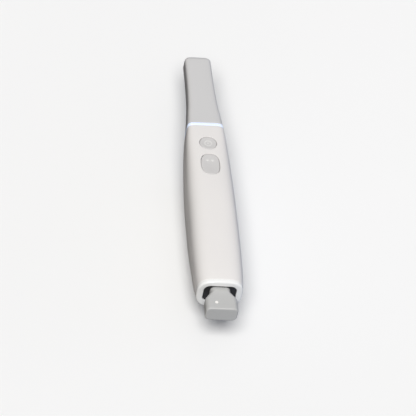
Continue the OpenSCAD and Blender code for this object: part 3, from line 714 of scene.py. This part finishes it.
def latch_spring():
    """Coil spring that lifts the lever's tooth."""
    skin = Skin()
    s, _, _ = centre("latch_spring")
    low, high = (corner.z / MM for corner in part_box("latch_spring"))
    coil_r, wire_r, turns = 1.5, 0.22, 4
    wire = circle(wire_r, 12)
    rows = []
    for t in np.linspace(0, 1, turns * 36 + 1):
        a = t * turns * 2 * math.pi
        z = low + wire_r + (high - low - 2 * wire_r) * t
        rows.append(skin.add([
            (s + (coil_r + out) * math.cos(a), (coil_r + out) * math.sin(a), z + up) for out, up in wire]))
    skin.grid(rows)
    skin.fan(rows[0], rows[-1])
    piece = finish_piece(skin.build("latch_coil"), "handle", "steel", "latch_spring")
    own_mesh(piece)


# ---------- CAD nodes that stay ----------
PLAIN_BEVEL = 0.12
BEVELS = {
    "tip_springs": 0.04, "bay_contacts": 0.08, "battery_contacts": 0.06, "charge_contacts": 0.1,
    "ring_leds": 0.08, "sensor_flex": 0.03, "optics_chassis": 0.25, "battery_case": 0.35,
    "battery_bay": 0.25, "optics_snout": 0.4, "battery_cell": 0.5, "shield_can": 0.3}


def dress(name, node):
    """Rounds the edges of a CAD node that stays in view, without a change to its mesh."""
    weld = node.modifiers.new("weld", "WELD")
    weld.merge_threshold = JOIN
    bevel = node.modifiers.new("bevel", "BEVEL")
    bevel.width = BEVELS.get(name, PLAIN_BEVEL) * MM
    bevel.segments = 2
    bevel.angle_limit = math.radians(40)
    normals = node.modifiers.new("even normals", "WEIGHTED_NORMAL")
    normals.keep_sharp = True


# ---------- finishes ----------
def rgb(r, g, b):
    """Linear colour from 0-255 display values."""
    return tuple((v / 12.92 if v <= 0.04045 else ((v + 0.055) / 1.055) ** 2.4)
                 for v in (r / 255, g / 255, b / 255)) + (1.0,)


def shade(colour, k):
    """A colour made k times as bright."""
    return tuple(min(1.0, c * k) for c in colour[:3]) + (1.0,)


class Nodes:
    """A node tree, emptied, and short ways to fill it."""

    def __init__(self, owner):
        owner.use_nodes = True
        self.tree = owner.node_tree
        self.tree.nodes.clear()

    def add(self, kind, settings=None, **inputs):
        """Adds a node, with settings as its attributes and the rest as its sockets."""
        node = self.tree.nodes.new("ShaderNode" + kind)
        for key, value in (settings or {}).items():
            setattr(node, key, value)
        for key, value in inputs.items():
            self.feed(node.inputs[key], value)
        return node

    def feed(self, socket, value):
        """Links a socket to another one, or sets it to a number or colour."""
        if isinstance(value, bpy.types.NodeSocket):
            self.tree.links.new(value, socket)
        else:
            socket.default_value = value

    def maths(self, operation, a, b=0.0):
        """One sum on one or two values."""
        node = self.add("Math", {"operation": operation})
        self.feed(node.inputs[0], a)
        self.feed(node.inputs[1], b)
        return node.outputs[0]

    def spread(self, value, low, high, start=0.3, end=0.7):
        """Maps start..end to low..high, held at both ends."""
        node = self.add("MapRange", {"clamp": True})
        for socket, v in zip(node.inputs, (value, start, end, low, high)):
            self.feed(socket, v)
        return node.outputs[0]

    def mix(self, share, a, b):
        """Colour between a and b."""
        node = self.add("Mix", {"data_type": "RGBA"})
        for socket, v in zip((node.inputs[0], node.inputs[6], node.inputs[7]), (share, a, b)):
            self.feed(socket, v)
        return node.outputs[2]


class Finish(Nodes):
    """Node material on one of the record's slots. Pattern sizes are in millimetres on the piece."""

    def __init__(self, slot, **constants):
        super().__init__(bpy.data.materials.get(slot) or bpy.data.materials.new(slot))
        self.where = self.add("TexCoord").outputs["Object"]
        self.shader = self.add("BsdfPrincipled")
        self.set(**constants)
        self.add("OutputMaterial", Surface=self.shader.outputs[0])

    def set(self, **inputs):
        """Sets or links the shader's own sockets."""
        for key, value in inputs.items():
            self.feed(self.shader.inputs[key.replace("_", " ")], value)

    def noise(self, mm, detail=2.0, warp=0.0, where=None):
        """Cloudy pattern."""
        node = self.add("TexNoise", Vector=where or self.where, Scale=1000 / mm, Detail=detail,
                        Distortion=warp)
        return node.outputs["Fac"]

    def cells(self, mm, feature="F1", out="Distance", where=None):
        """Pattern of cells."""
        node = self.add("TexVoronoi", {"feature": feature}, Vector=where or self.where, Scale=1000 / mm)
        return node.outputs[out]

    def stretched(self, x, y, z):
        """The piece's coordinates, stretched so that a pattern runs along one way."""
        return self.add("Mapping", Vector=self.where, Scale=(x, y, z)).outputs[0]

    def relief(self, height, mm, normal=None):
        """Bump of the given depth, over an earlier one if there is one."""
        node = self.add("Bump", Height=height, Distance=mm * MM, Strength=1.0)
        if normal is not None:
            self.feed(node.inputs["Normal"], normal)
        return node.outputs[0]

    def axes(self):
        """The piece's X, Y and Z in metres."""
        return self.add("SeparateXYZ", Vector=self.where).outputs

    def lanes(self, per_metre):
        """0 to 1 across each of the lanes that lie side by side along Y."""
        return self.maths("FRACT", self.maths("MULTIPLY", self.axes()[1], per_metre))


def plastic(slot, colour, rough, grain=0.4, depth=0.006, uneven=0.05, tone=0.02, **constants):
    """Moulded plastic: a fine etched grain, slow changes of tone and touch marks in the gloss."""
    f = Finish(slot, **constants)
    cloud = f.noise(38, 3, 0.4)
    f.set(Base_Color=f.mix(cloud, shade(colour, 1 - tone), shade(colour, 1 + tone)))
    touch = f.maths("ADD", f.noise(17, 5, 0.8), f.maths("MULTIPLY", f.noise(2.4, 3), 0.25))
    f.set(Roughness=f.spread(touch, rough - uneven, rough + uneven, 0.45, 0.8))
    flow = f.relief(f.noise(9, 2), 0.012)
    f.set(Normal=f.relief(f.cells(grain), depth, flow))
    return f


def metal(slot, colour, rough, along=(1, 1, 1), line=0.12, depth=0.004):
    """Bare metal: fine lines or blasted grain, and tarnish that changes colour and gloss."""
    f = Finish(slot, Metallic=1.0)
    uneven = 0.07
    tarnish = f.noise(6, 5, 1.0)
    f.set(Base_Color=f.mix(tarnish, shade(colour, 0.88), shade(colour, 1.06)))
    lines = f.noise(line, 2, 0.0, f.stretched(*along))
    f.set(Roughness=f.spread(f.maths("ADD", tarnish, f.maths("MULTIPLY", lines, 0.5)),
                             rough - uneven, rough + uneven, 0.5, 1.0))
    f.set(Normal=f.relief(lines, depth))
    return f


def shell_white():
    """Warm white satin shells."""
    plastic("shell_white", rgb(229, 226, 224), 0.36, Specular_IOR_Level=0.45)


def bezel_white():
    """Glossy white bezel with an orange-peel ripple."""
    plastic("bezel_white", rgb(241, 241, 240), 0.12, depth=0.001, uneven=0.03, tone=0.01,
            Coat_Weight=0.6, Coat_Roughness=0.04)


def tip_grey():
    """Pale grey tip, satin from repeated sterilising, with very faint wipe marks."""
    f = plastic("tip_grey", rgb(206, 205, 205), 0.36, depth=0.002, tone=0.008, Specular_IOR_Level=0.45)
    wipe = f.noise(3.0, 3, 0.3, f.stretched(0.2, 1, 1))
    f.set(Roughness=f.spread(wipe, 0.35, 0.39))


def button_grey():
    """Soft-touch grey buttons."""
    plastic("button_grey", rgb(204, 202, 201), 0.5, grain=0.25, depth=0.004, Specular_IOR_Level=0.4,
            Sheen_Weight=0.08)


def button_mark():
    """Lighter raised marks on the buttons, worn a little smoother on top."""
    plastic("button_mark", rgb(217, 216, 214), 0.34, grain=0.2, depth=0.002)


def grip_grey():
    """Grey grip with a coarser etched grain for the fingers."""
    plastic("grip_grey", rgb(187, 187, 186), 0.46, grain=0.55, depth=0.016, uneven=0.07)


def black_plastic():
    """Black mouldings of the bay, the pack and the guides."""
    plastic("black_plastic", rgb(34, 34, 36), 0.42, grain=0.5, depth=0.012, tone=0.12)


def black_rubber():
    """Soft black seal with dusty patches."""
    plastic("black_rubber", rgb(26, 26, 27), 0.72, grain=0.3, depth=0.01, tone=0.2, Sheen_Weight=0.25)


def lens_black():
    """Black anodised barrels with fine turned rings."""
    f = plastic("lens_black", rgb(22, 22, 24), 0.3, tone=0.15, Specular_IOR_Level=0.6)
    turned = f.add("TexWave", {"bands_direction": "X"}, Vector=f.where, Scale=900.0, Distortion=0.4)
    f.set(Normal=f.relief(turned.outputs["Fac"], 0.01))


def ring_light():
    """Lit diffuser: brightest along its middle line, with a faint glow over each lamp behind it."""
    f = Finish("ring_light", Roughness=0.28, Coat_Weight=0.3, Subsurface_Weight=0.25,
               Subsurface_Radius=(0.004, 0.004, 0.005))
    first, last = (corner.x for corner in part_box("light_ring"))
    glow, lamp_count = 0.42, 9.0
    x, y, z = f.axes()
    band = f.maths("ABSOLUTE", f.maths("SUBTRACT", x, (first + last) / 2))
    core = f.spread(band, 1.0, 0.72, 0.0, (last - first) / 2)
    angle = f.maths("ARCTAN2", f.maths("SUBTRACT", z, PACK_Z * MM), y)
    lamps = f.spread(f.maths("SINE", f.maths("MULTIPLY", angle, lamp_count)), 0.94, 1.04, -1.0, 1.0)
    cloud = f.spread(f.noise(1.5, 3), 0.97, 1.03)
    f.set(Base_Color=f.mix(f.noise(4, 2), rgb(206, 216, 236), rgb(214, 222, 240)),
          Emission_Color=rgb(214, 228, 255),
          Emission_Strength=f.maths("MULTIPLY", f.maths("MULTIPLY", core, lamps),
                                    f.maths("MULTIPLY", cloud, glow)),
          Normal=f.relief(f.noise(0.5, 2), 0.004))


def charge_lens():
    """Small light pipe on top of the grip, lit a warm white."""
    f = Finish("charge_lens", Roughness=0.2, Coat_Weight=0.5)
    f.set(Base_Color=f.mix(f.noise(1, 3), rgb(226, 224, 221), rgb(240, 238, 235)),
          Emission_Color=rgb(255, 248, 240), Emission_Strength=f.spread(f.noise(0.8, 2), 0.06, 0.12),
          Normal=f.relief(f.cells(0.3), 0.01))


def chassis_metal():
    """Bead-blasted die-cast chassis."""
    f = metal("chassis_metal", rgb(158, 160, 164), 0.44, line=0.3, depth=0.02)
    f.set(Normal=f.relief(f.cells(0.35), 0.012, f.relief(f.noise(5, 3), 0.03)))


def steel():
    """Brushed steel, with lines along the wand."""
    metal("steel", rgb(184, 185, 189), 0.26, along=(0.06, 1, 1), line=0.1)


def brass():
    """Turned brass posts."""
    metal("brass", rgb(206, 172, 102), 0.25, along=(1, 1, 14), line=0.5)


def gold_plate():
    """Gold-plated contacts with fine wear scratches."""
    f = metal("gold_plate", rgb(232, 192, 104), 0.2, along=(0.1, 1, 1), line=0.08, depth=0.003)
    scratch = f.spread(f.noise(0.15, 3, 0.5, f.stretched(1, 0.05, 1)), 0.0, 1.0, 0.62, 0.75)
    f.set(Base_Color=f.mix(scratch, rgb(232, 192, 104), rgb(196, 170, 120)))


def circuit_green():
    """Green solder mask over copper tracks, with plated holes and white print."""
    f = Finish("circuit_green", Coat_Weight=0.25, Specular_IOR_Level=0.5)
    cuts = f.cells(3.1, where=f.stretched(0.35, 1, 1), out="Color")
    wander = f.spread(f.add("SeparateColor", Color=cuts).outputs[0], 0.0, 1.0, 0.35, 0.4)
    tracks = f.maths("MULTIPLY", f.spread(f.lanes(1150.0), 1.0, 0.0, 0.42, 0.5), wander)
    holes = f.spread(f.cells(2.3), 1.0, 0.0, 0.1, 0.13)
    mask = f.mix(f.noise(7, 3), rgb(18, 74, 48), rgb(26, 90, 58))
    green = f.mix(tracks, mask, rgb(44, 122, 76))
    prints = f.spread(f.cells(6.5, "DISTANCE_TO_EDGE"), 1.0, 0.0, 0.012, 0.02)
    green = f.mix(f.maths("MULTIPLY", prints, f.spread(f.noise(5, 1), 0.0, 0.7, 0.55, 0.56)),
                  green, rgb(215, 218, 214))
    f.set(Base_Color=f.mix(holes, green, rgb(205, 176, 104)), Metallic=f.maths("MULTIPLY", holes, 0.9),
          Roughness=f.spread(f.noise(3, 4), 0.24, 0.38),
          Normal=f.relief(f.maths("SUBTRACT", tracks, holes), 0.02))


def chip_black():
    """Moulded chip packages with a laser-marked patch."""
    f = plastic("chip_black", rgb(30, 30, 32), 0.5, grain=0.18, depth=0.008, tone=0.15)
    etch = f.spread(f.cells(2.6, "DISTANCE_TO_EDGE"), 0.0, 1.0, 0.3, 0.34)
    lines = f.spread(f.noise(0.5, 1, 0.0, f.stretched(0.3, 1, 1)), 0.0, 1.0, 0.55, 0.6)
    f.set(Base_Color=f.mix(f.maths("MULTIPLY", etch, lines), rgb(30, 30, 32), rgb(84, 84, 86)))


def led_package():
    """Ceramic lamp packages with a phosphor patch."""
    f = Finish("led_package")
    edge = f.spread(f.cells(0.9), 0.0, 1.0, 0.25, 0.35)
    f.set(Base_Color=f.mix(edge, rgb(240, 214, 96), rgb(232, 231, 226)),
          Roughness=f.spread(f.noise(0.4, 3), 0.25, 0.5), Normal=f.relief(f.noise(0.15, 2), 0.006))


def flex_amber():
    """Amber polyimide strip with copper lines under its film."""
    f = Finish("flex_amber", Coat_Weight=0.5)
    lines = f.spread(f.lanes(1900.0), 1.0, 0.0, 0.45, 0.52)
    film = f.mix(f.noise(4, 3), rgb(172, 104, 34), rgb(190, 120, 44))
    f.set(Base_Color=f.mix(lines, film, rgb(214, 140, 74)), Metallic=f.maths("MULTIPLY", lines, 0.5),
          Roughness=f.spread(f.noise(2, 4), 0.22, 0.4), Normal=f.relief(lines, 0.012))


def optic_glass():
    """Coated optical glass with a violet-green cast and a little dust."""
    f = Finish("optic_glass", Transmission_Weight=1.0, IOR=1.52, Coat_Weight=0.3)
    sheen = f.add("LayerWeight", Blend=0.35).outputs["Facing"]
    dust = f.spread(f.noise(0.6, 4), 0.0, 1.0, 0.62, 0.72)
    f.set(Base_Color=f.mix(f.noise(9, 2), rgb(222, 240, 234), rgb(236, 232, 246)),
          Roughness=f.maths("ADD", f.maths("MULTIPLY", dust, 0.12), f.maths("MULTIPLY", sheen, 0.02)),
          Normal=f.relief(f.noise(6, 1), 0.002))


def mirror_glass():
    """Front-silvered mirror with faint cleaning marks."""
    f = Finish("mirror_glass", Metallic=1.0)
    marks = f.noise(1.6, 4, 1.0, f.stretched(0.15, 1, 1))
    f.set(Base_Color=f.mix(marks, rgb(226, 229, 232), rgb(238, 241, 244)),
          Roughness=f.spread(marks, 0.01, 0.07, 0.45, 0.75), Normal=f.relief(f.noise(8, 1), 0.002))


def cell_foil():
    """Crinkled pouch foil of the cell."""
    f = metal("cell_foil", rgb(196, 198, 203), 0.34, line=0.5)
    creases = f.add("TexVoronoi", {"feature": "SMOOTH_F1"}, Vector=f.where, Scale=260.0)
    f.set(Normal=f.relief(creases.outputs["Distance"], 0.25, f.relief(f.noise(3, 4), 0.08)))


FINISHES = (
    shell_white, bezel_white, tip_grey, button_grey, button_mark, grip_grey, black_plastic, black_rubber,
    lens_black, ring_light, charge_lens, chassis_metal, steel, brass, gold_plate, circuit_green, chip_black,
    led_package, flex_amber, optic_glass, mirror_glass, cell_foil)


# ---------- studio ----------
def floor():
    """Plain pale floor that runs out of sight. What it throws back on the wand's sides is held down: to all
    but camera rays it is painted dark on the +Y side and bluish on the -Y side, a painted shade and tint on
    the wand's sides.
    """
    far = 30.0                                         # metres
    mesh = bpy.data.meshes.new("floor")
    mesh.from_pydata([(-far, -far, 0), (far, -far, 0), (far, far, 0), (-far, far, 0)], [], [(0, 1, 2, 3)])
    plane = bpy.data.objects.new("floor", mesh)
    bpy.context.scene.collection.objects.link(plane)
    f = Finish("floor", Specular_IOR_Level=0.2)
    cloud = f.noise(420, 2)
    pale = f.mix(cloud, rgb(238, 238, 238), rgb(241, 241, 241))
    x, y, _ = f.axes()
    # Painted shade: to all but camera rays the floor is dark grey beside the handle and near black beside the
    # tip on the +Y side, and bluish grey on the -Y side. This darkens and tints the wand's sides.
    shade_by_handle, shade_by_tip, painted_blue_side = rgb(138, 136, 134), rgb(30, 29, 28), rgb(156, 163, 176)
    painted_dark_side = f.mix(f.spread(x, 0.0, 1.0, 0.03, 0.1), shade_by_handle, shade_by_tip)
    held = f.mix(f.spread(y, 0.0, 1.0, -0.02, 0.02), painted_blue_side, painted_dark_side)
    seen = f.add("LightPath").outputs["Is Camera Ray"]
    f.set(Base_Color=f.mix(seen, held, pale), Roughness=f.spread(cloud, 0.72, 0.8))
    mesh.materials.append(bpy.data.materials["floor"])
    plane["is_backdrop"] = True


def world():
    """Pale surroundings: bright above, bluish on the -Y side and dark on the +Y side."""
    sky = bpy.data.worlds.new("studio")
    bpy.context.scene.world = sky
    n = Nodes(sky)
    axes = n.add("SeparateXYZ", Vector=n.add("TexCoord").outputs["Generated"]).outputs
    tint = n.add("ValToRGB", Fac=n.spread(axes["Y"], 0.0, 1.0, -1.0, 1.0))      # -Y side first
    stops = tint.color_ramp.elements
    stops[0].position = 0.0
    stops[0].color = rgb(136, 147, 168)
    stops[1].position = 0.95
    stops[1].color = rgb(34, 33, 33)
    stops.new(0.5).color = rgb(228, 228, 228)
    lit = n.add("Background", Color=tint.outputs[0], Strength=n.spread(axes["Z"], 0.3, 0.5, 0.0, 1.0))
    seen = n.add("Background", Color=rgb(246, 246, 246))
    choice = n.add("MixShader", Fac=n.add("LightPath").outputs["Is Camera Ray"])
    n.feed(choice.inputs[1], lit.outputs[0])
    n.feed(choice.inputs[2], seen.outputs[0])
    n.add("OutputWorld", Surface=choice.outputs[0])


def softbox(name, place, aim, width, watts, colour):
    """Round area light at place, turned to aim."""
    light = bpy.data.lights.new(name, "AREA")
    light.shape = "DISK"
    light.size = width
    light.energy = watts
    light.color = colour[:3]
    lamp = bpy.data.objects.new(name, light)
    lamp.location = place
    lamp.rotation_euler = (Vector(aim) - Vector(place)).to_track_quat("-Z", "Y").to_euler()
    bpy.context.scene.collection.objects.link(lamp)


def lights():
    """Broad soft key from above and behind the tail, and a weak bluish fill from the -Y side."""
    sun = bpy.data.lights.new("key", "SUN")
    sun.energy = 3.1
    sun.angle = math.radians(32)
    sun.color = rgb(255, 254, 252)[:3]
    key = bpy.data.objects.new("key", sun)
    key.rotation_euler = Vector((0.5, -0.17, -0.86)).to_track_quat("-Z", "Y").to_euler()
    bpy.context.scene.collection.objects.link(key)
    softbox("fill", place=(0.1, -1.2, 0.45), aim=(0.0, 0.0, 0.03), width=0.8, watts=0.8,
            colour=rgb(206, 218, 255))


def camera():
    """Looks down the wand's back from far behind its tail, so that it seems to stand tip up."""
    low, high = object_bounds()
    toward_tail, distance = 0.012, 5.0                 # metres
    aim = (low + high) / 2 - Vector((toward_tail, 0, 0))
    forward = Vector((0.6614, -0.1630, -0.7321)).normalized()
    up = Vector((-0.0774, -0.9857, 0.1495)).cross(forward).normalized()
    turned = Matrix((forward.cross(up), up, -forward)).transposed().to_4x4()
    lens = bpy.data.cameras.new("camera")
    lens.sensor_width = 36.0
    lens.lens = 600.0
    lens.clip_end = 200.0
    view = bpy.data.objects.new("camera", lens)
    view.matrix_world = Matrix.Translation(aim - forward * distance) @ turned
    bpy.context.scene.collection.objects.link(view)
    bpy.context.scene.camera = view


# ---------- the scene ----------
for make in FINISHES:
    make()
for make in (upper_shell, lower_shell, tail_bezel, light_ring, tip_sleeve, scan_button, mode_button,
             battery_grip, latch_lever, latch_spring):
    make()
for name, node in frame["nodes"].items():
    if not node.hide_render:
        dress(name, node)
floor()
world()
lights()
camera()
bpy.context.scene.view_settings.view_transform = "Standard"
